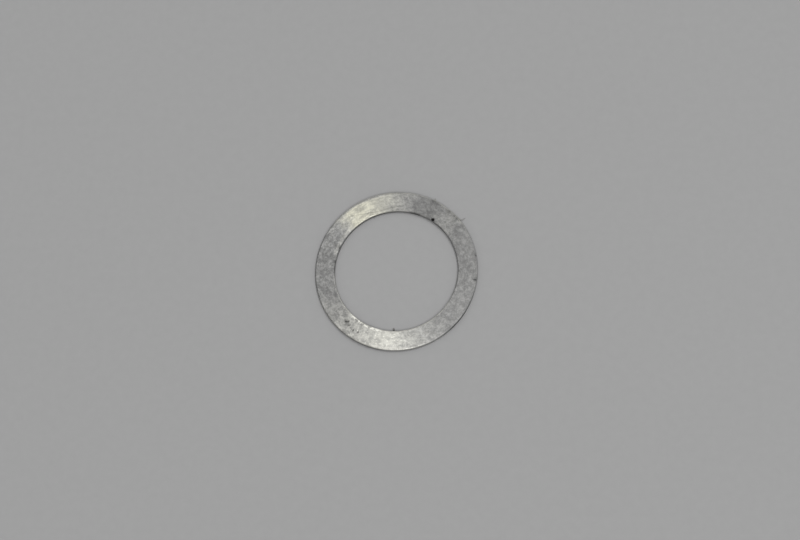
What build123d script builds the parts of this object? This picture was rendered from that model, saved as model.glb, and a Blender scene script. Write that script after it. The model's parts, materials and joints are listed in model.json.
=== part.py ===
from build123d import *
import os
from math import cos, radians, sin

# A gear spacer: a thin flat ring of sheet steel that sits on a shaft beside a gear.
# The bore and the rim are sheared in one stroke of a compound die, so both edges have the same form: rolled over
# at the top, then burnished, and broken away at the bottom, where slivers of burr are left on the rim.
# Millimetres. +Z is up, with the origin on the axis of the bore, in the plane of the bottom face.

# Driving sizes of the ring
bore_diameter = 12.1
ring_width = 1.95
thickness = 0.5
bore_radius = bore_diameter / 2
rim_radius = bore_radius + ring_width

# Form of a sheared edge, from the rolled-over side to the broken side
roll_width = 0.15
roll_depth = 0.08
burnish_height = 0.16
fracture_taper = 0.025
edge_break = 0.02

# Gouges in the top face: the angle from +X, the distance of the middle from the rim, the length,
# and the direction in which it runs, also from +X
gouge_width = 0.22
gouge_depth = 0.04
top_gouges = [
    (226.8, 1.10, 0.50, 4.0),
    (229.9, 0.95, 0.36, -8.0),
    (235.1, 0.77, 0.28, 60.0),
    (239.1, 0.86, 0.26, 10.0),
    (352.5, 0.16, 0.46, -7.5),
]

# A round pit where the roll of the bore meets the face: the angle, the distance from the bore and the radius
pit_angle = 55.3
pit_inset = 0.18
pit_radius = 0.17

# Nicks in the rolled edges: the angle and the radius of the bite
bore_nicks = [
    (156.5, 0.10),
    (170.2, 0.11),
]
rim_nicks = [
    (10.3, 0.10),
    (49.0, 0.13),
]

# Slivers of burr that stand out from the broken edge of the rim: the angle, the lean from straight out
# and the reach from the rim
burr_root = 0.06
burr_tip = 0.015
burr_sink = 0.12
rim_burrs = [
    (39.0, -5.0, 0.60),
    (63.7, 12.0, 0.36),
]


def draw_edge(edge_radius, outward):
    """Draws a sheared edge from the bottom face up to the top face: the blunt corner that tumbling leaves, the
    broken slope, the burnished band and the roll. outward is 1 for the rim and -1 for the bore. Returns the ends,
    the lower one first."""
    foot = (edge_radius - outward * (fracture_taper + edge_break), 0)
    slope_foot = (edge_radius - outward * fracture_taper, edge_break)
    band_foot = (edge_radius, thickness - roll_depth - burnish_height)
    band_head = (edge_radius, thickness - roll_depth)
    head = (edge_radius - outward * roll_width, thickness)
    Polyline(foot, slope_foot, band_foot, band_head)
    TangentArc(head, band_head, tangent=(outward, 0))
    return foot, head


def ring_section():
    """The section of the ring on one side of its axis."""
    with BuildSketch(Plane.XZ) as section:
        with BuildLine():
            rim_foot, rim_head = draw_edge(rim_radius, 1)
            bore_foot, bore_head = draw_edge(bore_radius, -1)
            Line(bore_foot, rim_foot)
            Line(rim_head, bore_head)
        make_face()
    return section.sketch


def on_ring(angle, radius, height):
    """A place on the ring, by its angle about the axis, its distance from the axis and its height."""
    turn = radians(angle)
    return Pos(radius * cos(turn), radius * sin(turn), height)


def gouge(angle, inset, length, direction):
    """A lying rod with round ends, which dips into the top face by gouge_depth and marks it gouge_width wide."""
    rod_radius = (gouge_width**2 / 4 + gouge_depth**2) / (2 * gouge_depth)
    straight = length - gouge_width
    middle = on_ring(angle, rim_radius - inset, thickness - gouge_depth + rod_radius)
    rod = Rot(0, 90, 0) * Cylinder(rod_radius, straight)
    ends = [Pos(side * straight / 2, 0, 0) * Sphere(rod_radius) for side in (-1, 1)]
    return middle * Rot(0, 0, direction) * rod.fuse(*ends)


def nick(angle, edge_radius, bite):
    """A ball set on a rolled edge, half way down the roll."""
    return on_ring(angle, edge_radius, thickness - roll_depth / 2) * Sphere(bite)


def rim_burr(angle, lean, reach):
    """A tapered sliver, rooted inside the rim just over its broken edge."""
    root = on_ring(angle, rim_radius - burr_sink, edge_break + burr_root)
    length = reach + burr_sink
    spike = Cone(burr_root, burr_tip, length, align=(Align.CENTER, Align.CENTER, Align.MIN))
    return root * Rot(0, 0, angle + lean) * Rot(0, 90, 0) * spike


def gear_spacer():
    """The ring as punched and tumbled, with its burrs, nicks, gouges and pit."""
    ring = revolve(ring_section(), axis=Axis.Z)
    for burr in rim_burrs:
        ring += rim_burr(*burr)
    for mark in top_gouges:
        ring -= gouge(*mark)
    for angle, bite in rim_nicks:
        ring -= nick(angle, rim_radius, bite)
    for angle, bite in bore_nicks:
        ring -= nick(angle, bore_radius, bite)
    ring -= on_ring(pit_angle, bore_radius + pit_inset, thickness) * Sphere(pit_radius)
    return ring


os.makedirs("parts", exist_ok=True)
spacer = gear_spacer()
export_step(spacer, "parts/gear_spacer.step")
print("solids", len(spacer.solids()), "volume", round(spacer.volume, 3), "valid", spacer.is_valid)
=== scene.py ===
import bmesh
import bpy
import json
import math
import numpy as np
from mathutils import Matrix, Vector, noise
from types import SimpleNamespace


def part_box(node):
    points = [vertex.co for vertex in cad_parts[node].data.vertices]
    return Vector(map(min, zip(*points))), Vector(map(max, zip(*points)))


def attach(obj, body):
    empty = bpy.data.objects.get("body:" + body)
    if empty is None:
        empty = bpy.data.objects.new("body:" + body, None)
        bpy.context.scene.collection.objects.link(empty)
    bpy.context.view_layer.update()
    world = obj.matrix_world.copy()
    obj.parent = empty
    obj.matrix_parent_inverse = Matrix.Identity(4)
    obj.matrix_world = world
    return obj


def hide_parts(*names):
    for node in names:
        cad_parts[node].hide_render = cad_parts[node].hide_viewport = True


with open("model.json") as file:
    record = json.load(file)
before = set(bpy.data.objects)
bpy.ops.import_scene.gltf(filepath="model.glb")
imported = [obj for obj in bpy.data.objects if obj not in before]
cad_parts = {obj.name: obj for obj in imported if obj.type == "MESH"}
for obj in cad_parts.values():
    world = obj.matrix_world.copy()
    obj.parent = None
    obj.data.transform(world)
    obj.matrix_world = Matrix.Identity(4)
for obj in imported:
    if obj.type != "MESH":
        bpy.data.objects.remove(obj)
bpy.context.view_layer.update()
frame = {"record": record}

# A punched steel spacer ring, lying on pale grey paper under soft light.
# Lengths are in metres, and MM turns a value in millimetres into metres. Angles are in degrees from +X.
MM = 0.001
NODE = "gear_spacer"
BODY = "root"

# Sizes of the ring, from the frame
low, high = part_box(NODE)
mounts = {mount["name"]: mount for mount in frame["record"]["mounts"]}
bore_radius = mounts["bore"]["dims"]["r_mm"] * MM
rim_radius = (high.y - low.y) / 2
middle_radius = (bore_radius + rim_radius) / 2
thickness = high.z - low.z

# Form of a sheared edge, the same at the bore and the rim: a roll at the top, a burnished band, a broken
# slope and a blunt corner at the bottom
roll_width = 0.15 * MM
roll_depth = 0.08 * MM
burnish_height = 0.16 * MM
fracture_taper = 0.025 * MM
edge_break = 0.02 * MM
band_head = thickness - roll_depth
band_foot = band_head - burnish_height

# Gouges in the top face: angle, radius, length, direction and how dirty each is
gouge_width = 0.22 * MM
gouge_depth = 0.04 * MM
gouge_lip = 0.006 * MM
gouge_lip_width = gouge_width / 4
gouges = [
    (226.8, rim_radius - 1.10 * MM, 0.50 * MM, 4.0, 0.74),
    (229.9, rim_radius - 0.95 * MM, 0.36 * MM, -8.0, 0.36),
    (235.1, rim_radius - 0.77 * MM, 0.28 * MM, 60.0, 0.25),
    (239.1, rim_radius - 0.86 * MM, 0.26 * MM, 10.0, 0.45),
    (352.5, rim_radius - 0.16 * MM, 0.46 * MM, -7.5, 0.55),
]

# A round pit beside the bore, and nicks bitten out of the rolled edges: angle, radius, the size of the
# bite and how dirty each is
pit = (55.3, bore_radius + 0.18 * MM, 0.17 * MM, 1.0)
nicks = [
    (156.5, bore_radius, 0.10 * MM, 0.50),
    (170.2, bore_radius, 0.11 * MM, 0.30),
    (10.3, rim_radius, 0.10 * MM, 0.90),
    (49.0, rim_radius, 0.13 * MM, 0.60),
]

# How fast dirt thickens with depth in a gouge and in a bite. At 1 it would be full at the bottom alone.
gouge_dirt_rise = 1.4
bite_dirt_rise = 1.6

# Dark smudges on the ring: angle, radius, how far each reaches and how dark it is
smudges = [
    (41.2, rim_radius - 0.10 * MM, 0.16 * MM, 0.45),
    (43.6, rim_radius - 0.14 * MM, 0.12 * MM, 0.35),
    (49.2, rim_radius - 0.14 * MM, 0.24 * MM, 0.38),
    (63.1, rim_radius - 0.03 * MM, 0.20 * MM, 0.40),
    (9.8, rim_radius - 0.08 * MM, 0.14 * MM, 0.25),
    (352.8, rim_radius - 0.06 * MM, 0.20 * MM, 0.40),
    (227.0, rim_radius - 1.10 * MM, 0.26 * MM, 0.38),
    # The two at the bore's edge darken it beside the nicks
    (170.4, bore_radius + 0.05 * MM, 0.15 * MM, 0.24),
    (156.5, bore_radius + 0.05 * MM, 0.18 * MM, 0.38),
    (165.5, bore_radius + 1.02 * MM, 0.16 * MM, 0.16),
    (172.0, bore_radius + 0.80 * MM, 0.14 * MM, 0.14),
    (55.3, bore_radius + 0.12 * MM, 0.20 * MM, 0.35),
]

# Fine scratches in the top face: the places that each passes through, as an angle and a radius
scratch_half_width = 0.05 * MM
scratch_darkness = 0.22
scratches = [
    [
        (128.7, bore_radius + 1.17 * MM),
        (110.7, bore_radius + 0.33 * MM),
        (101.5, bore_radius + 0.33 * MM),
        (87.5, bore_radius + 0.56 * MM),
    ],
    [
        (114.9, bore_radius + 0.24 * MM),
        (102.0, bore_radius + 0.05 * MM),
        (88.5, bore_radius + 0.19 * MM),
    ],
]

# Slivers of burr that stand out from the rim's broken edge: the places that each passes through, as an
# angle, a radius and a height, and its half width and half height at the root
slivers = {
    "burr_curl": ([
        (45.0, rim_radius - 0.08 * MM, 0.08 * MM),
        (41.6, rim_radius + 0.04 * MM, 0.11 * MM),
        (39.2, rim_radius + 0.14 * MM, 0.12 * MM),
        (38.7, rim_radius + 0.59 * MM, 0.07 * MM),
    ], 0.042 * MM, 0.06 * MM),
    "burr_tick": ([
        (61.6, rim_radius - 0.12 * MM, 0.07 * MM),
        (62.4, rim_radius + 0.04 * MM, 0.09 * MM),
        (62.9, rim_radius + 0.16 * MM, 0.10 * MM),
        (63.1, rim_radius + 0.29 * MM, 0.08 * MM),
    ], 0.10 * MM, 0.06 * MM),
}
sliver_steps = 28
sliver_sides = 12
sliver_dirt = 0.30

# How a sliver thins: it stops short of its point by a share of its length, and its width follows a power of
# what is left of the way to that point
sliver_tip = 0.03
sliver_taper = 0.35

# How ragged a sliver is, as a share of its distance from the axis
sliver_ragged = 4e-4
sliver_ragged_width = 0.05 * MM

# Crumbs of dirt that cling to the bore: angle, radius, height, size and how dark each is. Their lumps and
# their grit are in shares of that size.
crumbs = [
    (268.2, bore_radius - 0.22 * MM, 0.12 * MM, 0.10 * MM, 0.62),
    (112.0, bore_radius - 0.04 * MM, 0.36 * MM, 0.06 * MM, 0.80),
]
crumb_fineness = 4
crumb_lump_height = 0.45
crumb_lump_width = 0.9
crumb_grit_height = 0.15
crumb_grit_width = 0.3

# Unevenness of punching and tumbling. The rolls sway by a share of their width. The widths of lumps that
# follow an edge are in radians, and the line under the burnished band has wide lumps and narrow ones.
roll_sway = 0.22
roll_sway_width = 0.16
roll_sway_reach = 3 * roll_width
band_foot_sway = 0.05 * MM
band_foot_wide = 0.11
band_foot_narrow = 0.02
band_foot_wide_share = 0.6
torn_depth = 0.012 * MM
torn_width = 0.07 * MM
torn_stretch = (1, 1, 0.3)
torn_lift = 0.35
dimple_depth = 4e-3 * MM
dimple_width = 0.15 * MM
dent_depth = 5e-3 * MM
dent_width = 0.8 * MM
underside_depth = 4e-3 * MM
underside_width = 0.25 * MM

# Noise that follows an edge is read on a circle of radius 1, which lies this far up for the rim and this far
# down for the bore, so that the two edges differ
edges_apart = 0.4

# How far the noise of one seed lies from that of the next, in widths of a lump
seed_steps = (17.3, 5.9, 11.1)

# Fineness of the ring's mesh, with its columns closer together near the marks and its rows near the edges
columns = 1080
column_samples = 7200
mark_spread = 1.5
mark_crowding = 2.5
face_rows = 36
row_crowding = 0.05
underside_rows = 16
roll_rows = 6
band_rows = 4
slope_rows = 6
corner_rows = 2

# Arcs of the ring where the steel looks different. Each sets in between its first two angles and fades
# between its last two.
speckled_face = (205, 225, 270, 292)
lively_face = (128, 142, 195, 215)
# The bore's roll is brighter in these arcs, partly as rubbed steel and partly as painted highlight from
# behind
bore_rub_and_sheen_arcs = [(180, 188, 318, 340), (200, 225, 318, 340)]
# Painted shadow along the bore's edge in these arcs
shaded_bore_arcs = [(166, 170, 178, 181), (34, 40, 47, 51), (66, 70, 75, 79)]
matt_bore = (177, 184, 330, 350)
# Partly rubbed steel and partly painted highlight on the rim's roll
rim_rub_and_sheen_arcs = [(20, 45, 135, 150), (192, 204, 214, 226), (258, 268, 276, 286)]
# The rim's roll in the upper patch keeps less of the painted highlight, as painted shade where it faces away
grey_rim = (92, 104, 134, 144)
# Painted shade on the rim's walls in these arcs, and on the bore's wall in those below
shaded_wall_arcs = [(200, 212, 246, 258), (310, 316, 324, 330)]
shaded_bore_wall_arcs = [(34, 40, 50, 54), (66, 70, 76, 80)]
# Painted light on the walls that face the front lamp
lit_wall_arc = (256, 268, 298, 312)

# Arcs with uneven ends, which stray with the clouds by up to half of arc_stray either way
arc_stray = 22.0
# The two patches and the heart of the lower one are partly rubbed steel and partly painted highlight
upper_patch = (66, 124, 126, 151)
lower_patch = (190, 246, 262, 320)
lower_heart = (245, 262, 265, 280)
pale_face = (30, 40, 50, 60)
pale_strip = (132, 142, 158, 166)
tarnished_face = (50, 58, 69, 76)
# A painted highlight on the bore's roll
glinting_bore = (221, 233, 250, 265)

# The matt arc of the rim runs past 360 degrees, so it is counted from an angle of its own
matt_rim_start = -90
matt_rim = (62, 76, 225, 240)

# Strips along the edges, in millimetres from the edge: where each sets in and where it is full. The last
# one fades again between its last two.
bore_edge_strip = (0.17, 0.04)
bore_glint_strip = (0.34, 0.06)
# The strip of painted shadow along the bore's edge
bore_dirt_strip = (0.15, 0.06)
rim_edge_strip = (0.12, 0.04)
rim_roll_strip = (0.26, 0.12)
bore_inner_strip = (0.05, 0.14, 0.32, 0.50)

# Flatness, from 0 on a wall to 1 on a face: where the looks of a wall and of a matt roll set in and where
# they are full. A matt roll counts as flatter than it is, so that it looks less like a wall.
wall_flatness = (0.80, 0.40)
matt_flatness = (0.985, 0.88)
matt_flattening = 0.25

# How far above and below the line between them the band and the slope run into each other, in millimetres
slope_blend = 0.03

# Noise over the steel: lumps to the millimetre, detail and roughness. Where it is cut into patches, the
# levels at which a patch sets in and is full come after them.
spot_noise = (2.4, 4.0, 0.74, 0.36, 0.64)
streak_noise = (2.6, 3.0, 0.65, 0.36, 0.64)
grain_noise = (6.5, 2.0, 0.6, 0.30, 0.70)
fleck_noise = (5.0, 2.0, 0.5, 0.60, 0.70)
cloud_noise = (0.9, 2.0, 0.5)
wall_noise = (11.0, 2.0, 0.6)
bump_noise = (18.0, 2.0, 0.5)
wall_stretch = (1, 1, 0.12)

# How wear draws the noise out along the ring: the fineness that is left along it, and what comes on top of
# that across it
short_wear = (0.9, 0.6)
long_wear = (0.35, 1.6)

# Colours, as a level of grey and how far it is turned towards yellow
dull_colour = (0.27, 0.02)
# Rubbed steel with its painted highlight, and the warm tint of the painted highlight in the upper patch
rubbed_and_sheen_colour = (0.56, 0.09)
warm_rubbed_and_sheen_colour = (0.57, 0.30)
burnished_colour = (0.30, 0.02)
torn_colour = (0.17, 0.03)
dirt_colour = (0.012, 0.05)

# How bright each place is rubbed and painted with highlights, where 0 is dull and 1 is as bright as the
# steel gets, and the share of the upper patch's brightness that its grey stretch of the rim's roll loses.
# The two patches, their heart and the rolled edges are partly rubbed steel and partly painted highlight, and
# the glint is painted highlight alone.
patch_rub_and_sheen = 0.62
heart_rub_and_sheen = 0.40
bore_rub_and_sheen = 0.30
rim_rub_and_sheen = 0.50
glint_highlight = 0.8
pale_face_rub = 0.15
pale_strip_rub = 0.28
grey_rim_loss = 0.75

# How far the spots break up the rubbing and the painted highlight: everywhere, in the upper patch and on the
# speckled face. In the upper patch they turn into streaks, and the glint in the bore shows where they are
# bright.
spot_break = 0.12
upper_break = 0.30
speckled_break = 0.24
streak_gain = 1.3
glint_spots = (0.15, 0.60)

# How far each thing lightens or darkens the steel, and how much stronger the fine mottling of the lively
# face is
spot_mottle = 0.24
grain_mottle = 0.14
cloud_mottle = 0.36
lively_gain = 0.5
# Bright flecks in the two patches: painted sparkle
fleck_sparkle_gain = 0.45
# The painted glint on the bore's roll
glint_gain = 0.7
tarnish_loss = 0.15
# Painted shadow along the bore's edge
bore_dirt_loss = 0.28
wall_mottle = 0.9
# Painted light on the walls that face the front lamp
wall_light_gain = 0.65
# Painted shade on the walls
wall_shade_loss = 0.50

# Gloss of the steel, with what smooths or roughens it and what makes it look less like bare metal
dull_roughness = 0.60
shine_smoothing = 0.16
grain_smoothing = 0.08
wall_roughening = 0.04
dirt_roughening = 0.3
dirt_metal_loss = 0.35
matt_metal_loss = 0.65
bump_height = 4e-3 * MM
bump_strength = 0.5
bump_grain_share = 0.6
anisotropy = 0.4
anisotropy_turn = 0.25

# The paper and the light on it. A lamp has an azimuth, a tilt from straight up, a distance, a size and its
# share of the light on the paper at the ring, where 1 in all shows a colour as it is written.
paper_reach = 1.0
paper_colour = (0.358, 0.0)
paper_roughness = 0.9
paper_gloss = 0.2
fibre_noise = (1.2, 4.0, 0.6)
fibre_mottle = 0.08
surround_colour = (0.31, 0.0)
lamps = {
    "lamp_key": (46, 16, 0.8, 0.25, 0.26),
    "lamp_front": (290, 26, 0.8, 0.42, 0.39),
    "lamp_back": (105, 40, 0.8, 0.40, 0.045),
}

# The photograph's view: where the ring's top face lies in the frame, how large it is there and how it is
# tilted
frame_width_px = 800
frame_height_px = 540
ring_at_px = (396.0, 270.6)
px_per_mm = 10.24
view_tilt = math.radians(16.6)
view_azimuth = math.radians(294.0)
lens_mm = 100.0
sensor_mm = 36.0


class Graph:
    """Short calls that add nodes to a material or world."""

    def __init__(self, owner):
        owner.use_nodes = True
        self.tree = owner.node_tree
        self.tree.nodes.clear()

    def node(self, kind, inputs=(), **settings):
        made = self.tree.nodes.new(kind)
        for name, value in settings.items():
            setattr(made, name, value)
        for name, value in dict(inputs).items():
            self.put(made.inputs[name], value)
        return made

    def put(self, socket, value):
        if isinstance(value, bpy.types.NodeSocket):
            self.tree.links.new(value, socket)
        else:
            socket.default_value = value

    def math(self, operation, *values, clamp=False):
        inputs = dict(enumerate(values))
        return self.node("ShaderNodeMath", inputs, operation=operation, use_clamp=clamp).outputs[0]

    def total(self, *values):
        result = values[0]
        for value in values[1:]:
            result = self.math("ADD", result, value)
        return result

    def product(self, *values):
        result = values[0]
        for value in values[1:]:
            result = self.math("MULTIPLY", result, value)
        return result

    def swing(self, value, amount):
        """A value that lies about a half, turned into a change about zero that is amount wide."""
        return self.math("MULTIPLY_ADD", value, amount, -amount / 2)

    def vector(self, operation, first, second):
        return self.node("ShaderNodeVectorMath", {0: first, 1: second}, operation=operation).outputs[0]

    def noise(self, place, scale, detail, roughness):
        inputs = {"Vector": place, "Scale": scale, "Detail": detail, "Roughness": roughness}
        return self.node("ShaderNodeTexNoise", inputs).outputs["Fac"]

    def patches(self, place, scale, detail, roughness, start, full):
        """Noise cut into patches, which set in at one level of it and are full at another."""
        return self.spread(self.noise(place, scale, detail, roughness), start, full)

    def spread(self, value, start, end, first=0.0, last=1.0):
        """Goes smoothly from first to last as the value goes from start to end, and holds still beyond."""
        inputs = {"Value": value, "From Min": start, "From Max": end, "To Min": first, "To Max": last}
        return self.node("ShaderNodeMapRange", inputs, interpolation_type="SMOOTHSTEP").outputs["Result"]

    def window(self, value, start, full, fading, end):
        """Rises from 0 to 1 between start and full, and falls back between fading and end."""
        return self.product(self.spread(value, start, full), self.spread(value, fading, end, 1.0, 0.0))

    def windows(self, value, arcs):
        return self.total(*[self.window(value, *arc) for arc in arcs])

    def opposite(self, value):
        return self.math("SUBTRACT", 1.0, value)

    def blend(self, amount, first, second, kind="MIX"):
        mix = self.node("ShaderNodeMix", data_type="RGBA", blend_type=kind)
        self.put(mix.inputs[0], amount)
        self.put(mix.inputs[6], first)
        self.put(mix.inputs[7], second)
        return mix.outputs[2]


def grey(level, warmth=0.0):
    """A grey, turned towards yellow by its warmth."""
    return (level, level * (1 - warmth / 8), level * (1 - warmth), 1)


def run(start, end, steps):
    """Points along a straight line, without its last point."""
    shares = np.linspace(0, 1, steps, endpoint=False)[:, None]
    return list(np.array(start) + shares * (np.array(end) - np.array(start)))


def sheared_edge(edge, outward):
    """Stretches of points down a sheared edge from the top face, each without its last point, as pairs of
    a name and points. outward is 1 for the rim and -1 for the bore."""
    roll_radius = (roll_width**2 + roll_depth**2) / (2 * roll_depth)
    roll_sweep = math.asin(roll_width / roll_radius)
    turns = np.linspace(0, roll_sweep, roll_rows, endpoint=False)
    radii = edge - outward * roll_width + outward * roll_radius * np.sin(turns)
    heights = thickness - roll_radius * (1 - np.cos(turns))
    slope_foot = (edge - outward * fracture_taper, edge_break)
    corner_foot = (edge - outward * (fracture_taper + edge_break), 0)
    return [
        ("roll", list(zip(radii, heights))),
        ("band", run((edge, band_head), (edge, band_foot), band_rows)),
        ("slope", run((edge, band_foot), slope_foot, slope_rows)),
        ("corner", run(slope_foot, corner_foot, corner_rows)),
    ]


def section():
    """The closed section of the ring, as radii and heights, and the stretch that each point is on."""
    shares = np.linspace(0, 1, face_rows, endpoint=False)
    shares -= row_crowding * np.sin(2 * math.pi * shares)
    face_start = bore_radius + roll_width
    face_end = rim_radius - roll_width
    face = [(face_start + share * (face_end - face_start), thickness) for share in shares]
    foot_inset = fracture_taper + edge_break
    bore_foot = (bore_radius + foot_inset, 0)
    underside = run((rim_radius - foot_inset, 0), bore_foot, underside_rows)
    outside = [("face", face), *sheared_edge(rim_radius, 1), ("underside", underside)]
    down = [(name, point) for name, stretch in outside for point in stretch]
    down_bore = [(name, point) for name, stretch in sheared_edge(bore_radius, -1) for point in stretch]
    names, points = zip(*down, ("corner", bore_foot), *down_bore[:0:-1])
    return np.array(points), np.array(names)


def column_turns():
    """The angles of the mesh's columns, in radians, evenly spread but closer together near the marks."""
    angles = np.linspace(0, 360, column_samples, endpoint=False)
    crowd = np.ones_like(angles)
    for mark in gouges + nicks + [pit]:
        away = (angles - mark[0] + 180) % 360 - 180
        crowd += mark_crowding * np.exp(-((away / mark_spread) ** 2))
    reached = np.cumsum(crowd)
    shares = np.linspace(reached[0], reached[-1], columns, endpoint=False)
    return np.radians(np.interp(shares, reached, angles))


def lumps(points, size, seed):
    """Smooth noise between about -1 and 1 at each point. size is the width of its lumps."""
    offset = Vector([seed * step for step in seed_steps])
    return np.array([noise.noise(Vector(point) / size + offset) for point in points])


def hollows(points, size, seed):
    """Smooth noise between about 0 and 1 at each point."""
    return 0.5 + 0.5 * lumps(points, size, seed)


def on_ring(angle, radius, height):
    turn = math.radians(angle)
    return np.array([radius * math.cos(turn), radius * math.sin(turn), height])


def carve(points, grime, middle, radius, direction, dirt):
    """Pushes the points that lie in a ball along direction, on to the far side of the ball."""
    away = points - middle
    squared = np.sum(away**2, axis=1)
    inside = squared < radius**2
    along = away[inside] @ direction
    push = np.sqrt(along**2 + radius**2 - squared[inside]) - along
    points[inside] += push[:, None] * direction
    filled = np.clip(push / radius * bite_dirt_rise, 0, 1)
    grime[inside] = np.maximum(grime[inside], filled * dirt)


def cut_gouges(points, grime):
    """Presses the gouges into the top face. Each is the dip of a lying rod with round ends, with a low lip
    of the metal that it pushed aside."""
    rod_radius = (gouge_width**2 / 4 + gouge_depth**2) / (2 * gouge_depth)
    half = gouge_width / 2
    for angle, radius, length, direction, dirt in gouges:
        turn = math.radians(direction)
        offset = points - on_ring(angle, radius, thickness)
        along = offset[:, 0] * math.cos(turn) + offset[:, 1] * math.sin(turn)
        across = -offset[:, 0] * math.sin(turn) + offset[:, 1] * math.cos(turn)
        beyond = np.maximum(np.abs(along) - (length - gouge_width) / 2, 0)
        aside = np.hypot(across, beyond)
        upper = points[:, 2] > thickness / 2
        near = (aside < half) & upper
        floor = thickness - gouge_depth + rod_radius - np.sqrt(rod_radius**2 - aside[near] ** 2)
        deep = np.maximum(points[near, 2] - floor, 0)
        points[near, 2] -= deep
        filled = np.clip(deep / gouge_depth * gouge_dirt_rise, 0, 1)
        grime[near] = np.maximum(grime[near], filled * dirt)
        lip = (aside >= half) & (aside < half + gouge_lip_width) & upper
        points[lip, 2] += gouge_lip * np.sin(math.pi * (aside[lip] - half) / gouge_lip_width)


def roughen(points, place, turns):
    """Gives the surfaces the unevenness of punching and tumbling, at its real size."""
    radius = np.hypot(points[:, 0], points[:, 1])
    outward = np.where(radius > middle_radius, 1, -1)
    edge = np.where(outward > 0, rim_radius, bore_radius)
    steady = np.stack([np.cos(turns), np.sin(turns), outward * edges_apart], axis=1)

    # The rolls are wider in some places than in others, and fade into the face
    upper = (place == "face") | (place == "roll")
    inset = (edge - radius) * outward
    fade = np.clip(1 - (inset - roll_width) / roll_sway_reach, 0, 1)
    sway = roll_sway * lumps(steady[upper], roll_sway_width, seed=3)
    scale = 1 + sway * (inset * fade)[upper] * -outward[upper] / radius[upper]
    points[upper, :2] *= scale[:, None]

    # The line between the burnished band and the broken slope wanders up and down
    wall = (place == "band") | (place == "slope")
    height = points[wall, 2]
    reach = np.where(height > band_foot, burnish_height, band_foot)
    share = np.clip(1 - np.abs(height - band_foot) / reach, 0, 1)
    wide = lumps(steady[wall], band_foot_wide, seed=4)
    narrow = lumps(steady[wall], band_foot_narrow, seed=5)
    ragged = band_foot_wide_share * wide + (1 - band_foot_wide_share) * narrow
    points[wall, 2] += band_foot_sway * ragged * share

    # Tearing leaves the slope rough, in streaks from top to bottom
    torn = place == "slope"
    streaks = np.maximum(0, lumps(points[torn] * torn_stretch, torn_width, seed=2) + torn_lift)
    pull = 1 - outward[torn] * torn_depth * streaks / radius[torn]
    points[torn, :2] *= pull[:, None]

    # Tumbling leaves fine dimples in wide shallow dents
    face = place == "face"
    dimples = dimple_depth * hollows(points[face], dimple_width, seed=1)
    dents = dent_depth * hollows(points[face], dent_width, seed=6)
    points[face, 2] -= dimples + dents
    under = place == "underside"
    points[under, 2] += underside_depth * hollows(points[under], underside_width, seed=7)


def distance_to_line(points, start, end):
    """How far each point lies from the straight line between start and end."""
    along = end - start
    shares = np.clip((points - start) @ along / (along @ along), 0, 1)
    return np.linalg.norm(points - start - shares[:, None] * along, axis=1)


def soil(points, grime):
    """Lays the smudges and the scratches over the grime."""
    for angle, radius, reach, darkness in smudges:
        away = np.linalg.norm(points - on_ring(angle, radius, thickness), axis=1) / reach
        grime = np.maximum(grime, darkness * np.exp(-(away**2)))
    for route in scratches:
        places = [on_ring(angle, radius, thickness) for angle, radius in route]
        for start, end in zip(places, places[1:]):
            away = distance_to_line(points, start, end) / scratch_half_width
            grime = np.maximum(grime, scratch_darkness * np.exp(-(away**2)))
    return grime


def ring_mesh():
    """The ring as a grid of columns round the axis and rows round the section, with relief and marks."""
    outline, names = section()
    rows = len(outline)
    turns = np.repeat(column_turns(), rows)
    radii, heights = np.tile(outline, (columns, 1)).T
    points = np.stack([radii * np.cos(turns), radii * np.sin(turns), heights], axis=1)
    grime = np.zeros(len(points))
    roughen(points, np.tile(names, columns), turns)
    cut_gouges(points, grime)
    down = np.array([0.0, 0.0, -1.0])
    angle, radius, size, dirt = pit
    carve(points, grime, on_ring(angle, radius, thickness), size, down, dirt)
    for angle, radius, size, dirt in nicks:
        inward = -1 if radius > middle_radius else 1
        slant = on_ring(angle, inward, -1.0) / math.sqrt(2)
        carve(points, grime, on_ring(angle, radius, thickness - roll_depth / 2), size, slant, dirt)
    grime = soil(points, grime)

    column, row = np.meshgrid(np.arange(columns), np.arange(rows), indexing="ij")
    start = column * rows
    next_start = (column + 1) % columns * rows
    next_row = (row + 1) % rows
    corners = [start + row, next_start + row, next_start + next_row, start + next_row]
    faces = np.stack(corners, axis=2).reshape(-1, 4).tolist()
    return new_mesh("spacer_ring", points, faces, grime)


def sliver_mesh(name, route, half_width, half_height):
    """A sliver of burr: a ragged oval tube along its route, which thins towards the tip."""
    places = np.array([on_ring(*place) for place in route])
    knots = np.linspace(0, 1, len(route))
    shares = np.linspace(0, 1, sliver_steps)
    fits = [np.polyfit(knots, places[:, axis], len(route) - 1) for axis in range(3)]
    line = np.stack([np.polyval(fit, shares) for fit in fits], axis=1)
    along = np.gradient(line, axis=0)
    side = np.stack([-along[:, 1], along[:, 0], np.zeros(sliver_steps)], axis=1)
    side /= np.linalg.norm(side, axis=1)[:, None]
    taper = ((1 - (1 - sliver_tip) * shares) ** sliver_taper)[:, None, None]
    turns = np.linspace(0, 2 * math.pi, sliver_sides, endpoint=False)[None, :, None]
    wide = side[:, None] * half_width * taper * np.cos(turns)
    high = np.array([0, 0, half_height]) * taper * np.sin(turns)
    points = (line[:, None] + wide + high).reshape(-1, 3)
    points *= 1 + sliver_ragged * lumps(points, sliver_ragged_width, seed=8)[:, None]
    step, turn = np.meshgrid(np.arange(sliver_steps - 1), np.arange(sliver_sides), indexing="ij")
    first = step * sliver_sides + turn
    beside = step * sliver_sides + (turn + 1) % sliver_sides
    corners = [first, beside, beside + sliver_sides, first + sliver_sides]
    faces = np.stack(corners, axis=2).reshape(-1, 4).tolist()
    faces.append(list(range(sliver_sides))[::-1])
    faces.append([len(points) - sliver_sides + turn for turn in range(sliver_sides)])
    return new_mesh(name, points, faces, sliver_dirt)


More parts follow.
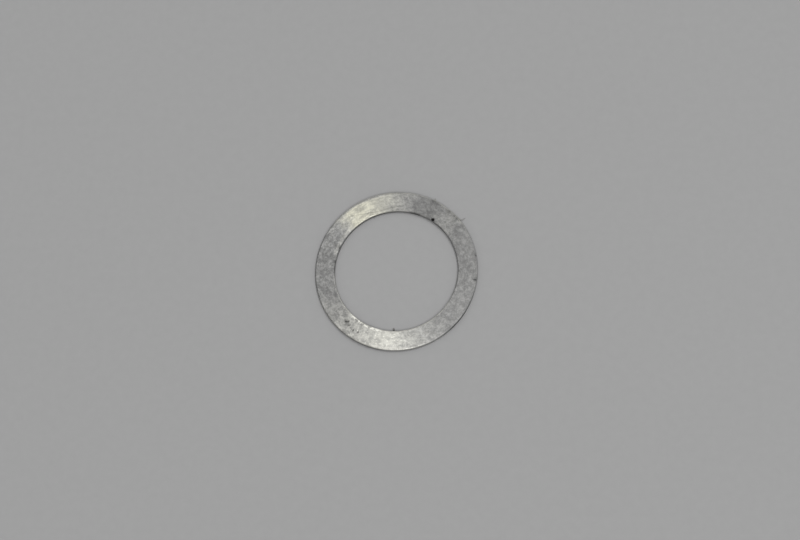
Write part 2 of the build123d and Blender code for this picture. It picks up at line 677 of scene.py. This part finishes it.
def crumb_mesh(name, middle, size, darkness, seed):
    """A crumb of dirt, lumpy all over."""
    shape = bmesh.new()
    bmesh.ops.create_icosphere(shape, subdivisions=crumb_fineness, radius=1)
    points = np.array([vert.co for vert in shape.verts])
    faces = [[vert.index for vert in face.verts] for face in shape.faces]
    shape.free()
    lumpy = crumb_lump_height * lumps(points, crumb_lump_width, seed)
    gritty = crumb_grit_height * lumps(points, crumb_grit_width, seed + 1)
    swell = 1 + lumpy + gritty
    return new_mesh(name, middle + points * swell[:, None] * size, faces, darkness)


def new_mesh(name, points, faces, grime=None):
    mesh = bpy.data.meshes.new(name)
    mesh.from_pydata(np.asarray(points).tolist(), [], faces)
    mesh.update()
    mesh.shade_smooth()
    if grime is not None:
        attribute = mesh.attributes.new("grime", "FLOAT", "POINT")
        attribute.data.foreach_set("value", np.broadcast_to(grime, len(points)).astype(np.float32))
    return mesh


def add_object(name, mesh, material):
    made = bpy.data.objects.new(name, mesh)
    bpy.context.scene.collection.objects.link(made)
    made.data.materials.append(material)
    return made


def read_surface(g):
    """What the look of a place on the ring depends on: where it is, in millimetres and degrees, how far it
    is from the edges, how flat it lies and how dirty it is."""
    place = g.node("ShaderNodeTexCoord").outputs["Object"]
    in_mm = g.vector("MULTIPLY", place, (1 / MM, 1 / MM, 1 / MM))
    split = g.node("ShaderNodeSeparateXYZ", {0: in_mm}).outputs
    turn = g.math("ARCTAN2", split["Y"], split["X"])
    flat_place = g.vector("MULTIPLY", in_mm, (1, 1, 0))
    away = g.node("ShaderNodeVectorMath", {0: flat_place}, operation="LENGTH").outputs["Value"]
    normal = g.node("ShaderNodeNewGeometry").outputs["Normal"]
    return SimpleNamespace(
        in_mm=in_mm,
        height=split["Z"],
        angle=g.math("FLOORED_MODULO", g.product(turn, 180 / math.pi), 360.0),
        away=away,
        from_bore=g.math("SUBTRACT", away, bore_radius / MM),
        from_rim=g.math("SUBTRACT", rim_radius / MM, away),
        bore_side=g.math("LESS_THAN", away, middle_radius / MM),
        flatness=g.math("ABSOLUTE", g.node("ShaderNodeSeparateXYZ", {0: normal}).outputs["Z"]),
        grime=g.node("ShaderNodeAttribute", attribute_name="grime").outputs["Fac"],
    )


def drawn_out(g, at, along, across):
    """A place for noise that wear has drawn out along the ring, where it turned against other parts."""
    rings = g.node("ShaderNodeCombineXYZ", {"Z": g.product(at.away, across)}).outputs[0]
    return g.vector("ADD", g.vector("MULTIPLY", at.in_mm, (along, along, 1.0)), rings)


def add_noise(g, at):
    """The uneven patterns of the steel, from wide clouds down to fine grain."""
    short = drawn_out(g, at, *short_wear)
    at.spots = g.patches(short, *spot_noise)
    at.grain = g.patches(short, *grain_noise)
    at.flecks = g.patches(short, *fleck_noise)
    at.streaks = g.patches(drawn_out(g, at, *long_wear), *streak_noise)
    at.clouds = g.noise(at.in_mm, *cloud_noise)
    at.strayed = g.math("ADD", at.angle, g.swing(at.clouds, arc_stray))


def add_edges(g, at):
    """The strips along the two edges, the arcs of the rolls that look matt, and the walls."""
    at.bore_edge = g.spread(at.from_bore, *bore_edge_strip)
    at.bore_glint = g.spread(at.from_bore, *bore_glint_strip)
    at.bore_dirt = g.spread(at.from_bore, *bore_dirt_strip)
    at.rim_edge = g.spread(at.from_rim, *rim_edge_strip)
    at.rim_roll = g.spread(at.from_rim, *rim_roll_strip)
    at.bore_inner = g.window(at.from_bore, *bore_inner_strip)
    turned = g.math("FLOORED_MODULO", g.math("SUBTRACT", at.angle, matt_rim_start), 360.0)
    at.matt = g.blend(at.bore_side, g.window(turned, *matt_rim), g.window(at.angle, *matt_bore))
    at.wall = g.spread(g.total(at.flatness, g.product(at.matt, matt_flattening)), *wall_flatness)


def add_rubbing_and_sheen(g, at):
    """How bright the ring is rubbed and painted with highlights: in two wide patches and along its edges."""
    grey_roll = g.product(g.window(at.angle, *grey_rim), at.rim_roll)
    kept = g.math("MULTIPLY_ADD", grey_roll, -grey_rim_loss, 1.0)
    at.upper = g.product(g.window(at.strayed, *upper_patch), patch_rub_and_sheen, kept)
    at.lower = g.total(
        g.product(g.window(at.strayed, *lower_patch), patch_rub_and_sheen),
        g.product(g.window(at.strayed, *lower_heart), heart_rub_and_sheen),
    )
    at.spots = g.blend(g.math("MULTIPLY", at.upper, streak_gain, clamp=True), at.spots, at.streaks)
    lit = g.spread(at.spots, *glint_spots)
    at.glint = g.product(g.window(at.strayed, *glinting_bore), at.bore_glint, lit)
    # Rubbing and painted highlight together
    rub_and_sheen = g.total(
        at.upper,
        at.lower,
        g.product(g.windows(at.angle, bore_rub_and_sheen_arcs), at.bore_edge, bore_rub_and_sheen),
        g.product(g.windows(at.angle, rim_rub_and_sheen_arcs), at.rim_edge, rim_rub_and_sheen),
        g.product(at.glint, glint_highlight),
        g.product(g.window(at.strayed, *pale_face), pale_face_rub),
        g.product(g.window(at.strayed, *pale_strip), at.bore_inner, pale_strip_rub),
    )
    broken = g.total(
        spot_break,
        g.product(at.upper, upper_break),
        g.product(g.window(at.angle, *speckled_face), speckled_break),
    )
    at.shine = g.math("ADD", rub_and_sheen, g.product(g.swing(at.spots, 1.0), broken), clamp=True)


def face_colour(g, at):
    """The colour of the faces and the rolls: dull grey where not rubbed or painted bright, mottled all over.
    """
    lively = g.total(1.0, g.product(g.window(at.angle, *lively_face), lively_gain))
    fine = g.total(g.swing(at.spots, spot_mottle), g.swing(at.grain, grain_mottle))
    tarnish = g.product(g.window(at.strayed, *tarnished_face), g.opposite(at.rim_edge))
    # Painted shadow along parts of the bore's edge
    bore_dirt = g.product(g.windows(at.angle, shaded_bore_arcs), at.bore_dirt)
    mottle = g.total(
        1.0,
        g.product(fine, lively),
        g.swing(at.clouds, cloud_mottle),
        # Painted sparkle in the two patches
        g.product(at.flecks, g.total(at.upper, at.lower), fleck_sparkle_gain),
        g.product(at.glint, glint_gain),
        g.product(tarnish, -tarnish_loss),
        g.product(bore_dirt, -bore_dirt_loss),
    )
    bright = g.blend(at.upper, grey(*rubbed_and_sheen_colour), grey(*warm_rubbed_and_sheen_colour))
    metal = g.blend(at.shine, grey(*dull_colour), bright)
    return g.blend(1.0, metal, mottle, "MULTIPLY")


def wall_colour(g, at):
    """The colour of the walls: a streaked band where the punch slid by, and a dark torn slope under it.
    Painted shade darkens the walls in some arcs, and painted light brightens them in another.
    """
    foot = band_foot / MM
    torn = g.spread(at.height, foot + slope_blend, foot - slope_blend)
    streaks = g.noise(g.vector("MULTIPLY", at.in_mm, wall_stretch), *wall_noise)
    # Painted shade on the walls in some arcs
    shaded = g.total(
        g.windows(at.angle, shaded_wall_arcs),
        g.product(g.windows(at.angle, shaded_bore_wall_arcs), at.bore_side),
    )
    level = g.total(
        1.0,
        g.swing(streaks, wall_mottle),
        g.product(g.window(at.angle, *lit_wall_arc), wall_light_gain),
        g.product(shaded, -wall_shade_loss),
    )
    metal = g.blend(torn, grey(*burnished_colour), grey(*torn_colour))
    return g.blend(1.0, metal, level, "MULTIPLY")


def steel_roughness(g, at):
    """How rough the steel is: less where it is rubbed or painted bright, more on the walls and in the dirt.
    """
    bare = g.total(
        dull_roughness,
        g.product(at.shine, -shine_smoothing),
        g.swing(at.grain, -grain_smoothing),
        g.product(at.wall, wall_roughening),
    )
    return g.math("ADD", bare, g.product(at.grime, dirt_roughening), clamp=True)


def steel_metallic(g, at):
    """How metallic the surface looks: less in the dirt and on the matt rolls."""
    matt_roll = g.product(g.spread(at.flatness, *matt_flatness), g.opposite(at.wall), at.matt)
    return g.total(1.0, g.product(at.grime, -dirt_metal_loss), g.product(matt_roll, -matt_metal_loss))


def steel_bump(g, at):
    """The finest unevenness of the surface, grain and what is finer than that."""
    finest = g.noise(at.in_mm, *bump_noise)
    relief = g.total(g.product(at.grain, bump_grain_share), g.product(finest, 1 - bump_grain_share))
    inputs = {"Height": relief, "Strength": bump_strength, "Distance": bump_height}
    return g.node("ShaderNodeBump", inputs).outputs[0]


def steel_material():
    """Tumbled sheet steel: dull mottled grey, rubbed and painted bright in places, with painted shade
    in others and dirt in its marks.
    """
    material = bpy.data.materials.new("tumbled_steel")
    g = Graph(material)
    at = read_surface(g)
    add_noise(g, at)
    add_edges(g, at)
    add_rubbing_and_sheen(g, at)
    clean = g.blend(at.wall, face_colour(g, at), wall_colour(g, at))
    shader = g.node("ShaderNodeBsdfPrincipled", {
        "Base Color": g.blend(at.grime, clean, grey(*dirt_colour)),
        "Metallic": steel_metallic(g, at),
        "Roughness": steel_roughness(g, at),
        "Anisotropic": anisotropy,
        "Anisotropic Rotation": anisotropy_turn,
        "Normal": steel_bump(g, at),
        "Tangent": g.node("ShaderNodeTangent", direction_type="RADIAL", axis="Z").outputs[0],
    })
    g.node("ShaderNodeOutputMaterial", {"Surface": shader.outputs[0]})
    return material


def paper_material():
    """Plain pale grey paper."""
    material = bpy.data.materials.new("grey_paper")
    g = Graph(material)
    place = g.node("ShaderNodeTexCoord").outputs["Object"]
    fibre = g.noise(g.vector("MULTIPLY", place, (1 / MM, 1 / MM, 1 / MM)), *fibre_noise)
    mottle = g.math("ADD", 1.0, g.swing(fibre, fibre_mottle))
    shader = g.node("ShaderNodeBsdfPrincipled", {
        "Base Color": g.blend(1.0, grey(*paper_colour), mottle, "MULTIPLY"),
        "Roughness": paper_roughness,
        "Specular IOR Level": paper_gloss,
    })
    g.node("ShaderNodeOutputMaterial", {"Surface": shader.outputs[0]})
    return material


def add_floor():
    far = paper_reach
    corners = [(-far, -far, 0), (far, -far, 0), (far, far, 0), (-far, far, 0)]
    floor = add_object("floor", new_mesh("floor", corners, [(0, 1, 2, 3)]), paper_material())


def towards(azimuth, tilt):
    """A direction by its azimuth from +X and its tilt from straight up, in degrees."""
    turn = math.radians(azimuth)
    lean = math.radians(tilt)
    return Vector((math.sin(lean) * math.cos(turn), math.sin(lean) * math.sin(turn), math.cos(lean)))


def add_lamp(name, azimuth, tilt, distance, size, share):
    """A round lamp that points at the ring, at the power that gives its share of the light there."""
    direction = towards(azimuth, tilt)
    lamp = bpy.data.lights.new(name, "AREA")
    lamp.shape = "DISK"
    lamp.size = size
    lamp.energy = share * math.pi**2 * distance**2 / direction.z
    made = bpy.data.objects.new(name, lamp)
    made.location = direction * distance
    made.rotation_mode = "QUATERNION"
    made.rotation_quaternion = direction.to_track_quat("Z", "Y")
    bpy.context.scene.collection.objects.link(made)


def add_light():
    for name, values in lamps.items():
        add_lamp(name, *values)
    world = bpy.data.worlds.new("soft_surround")
    bpy.context.scene.world = world
    g = Graph(world)
    surround = g.node("ShaderNodeBackground", {"Color": grey(*surround_colour), "Strength": 1.0})
    g.node("ShaderNodeOutputWorld", {"Surface": surround.outputs[0]})


def add_camera():
    """A camera at the photograph's viewing angle, aimed so that the ring lies where it does in the
    photograph."""
    along = Vector((math.cos(view_azimuth), math.sin(view_azimuth), 0))
    across = Vector((-math.sin(view_azimuth), math.cos(view_azimuth), 0))
    back = along * math.sin(view_tilt) + Vector((0, 0, math.cos(view_tilt)))
    lowered = along * math.cos(view_tilt) - Vector((0, 0, math.sin(view_tilt)))
    right = lowered * math.cos(view_azimuth) - across * math.sin(view_azimuth)
    up = lowered * math.sin(view_azimuth) + across * math.cos(view_azimuth)
    aside = (frame_width_px / 2 - ring_at_px[0]) / px_per_mm * MM
    above = (ring_at_px[1] - frame_height_px / 2) / px_per_mm * MM
    aim = Vector((0, 0, thickness)) + right * aside + up * above
    distance = lens_mm / sensor_mm * frame_width_px / px_per_mm * MM
    camera = bpy.data.cameras.new("camera")
    camera.lens = lens_mm
    camera.sensor_width = sensor_mm
    camera.clip_start = distance / 10
    camera.clip_end = distance * 20
    made = bpy.data.objects.new("camera", camera)
    turned = Matrix((right, up, back)).transposed().to_4x4()
    made.matrix_world = Matrix.Translation(aim + back * distance) @ turned
    bpy.context.scene.collection.objects.link(made)
    bpy.context.scene.camera = made


steel = steel_material()
ring = add_object("spacer_ring", ring_mesh(), steel)
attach(ring, BODY)
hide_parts(NODE)

clinging = [sliver_mesh(name, *form) for name, form in slivers.items()]
for count, (angle, radius, height, size, darkness) in enumerate(crumbs, start=1):
    middle = on_ring(angle, radius, height)
    clinging.append(crumb_mesh(f"dirt_crumb_{count}", middle, size, darkness, seed=10 * count))
for mesh in clinging:
    piece = add_object(mesh.name, mesh, steel)
    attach(piece, BODY)

add_floor()
add_light()
add_camera()
bpy.context.scene.view_settings.view_transform = "Standard"
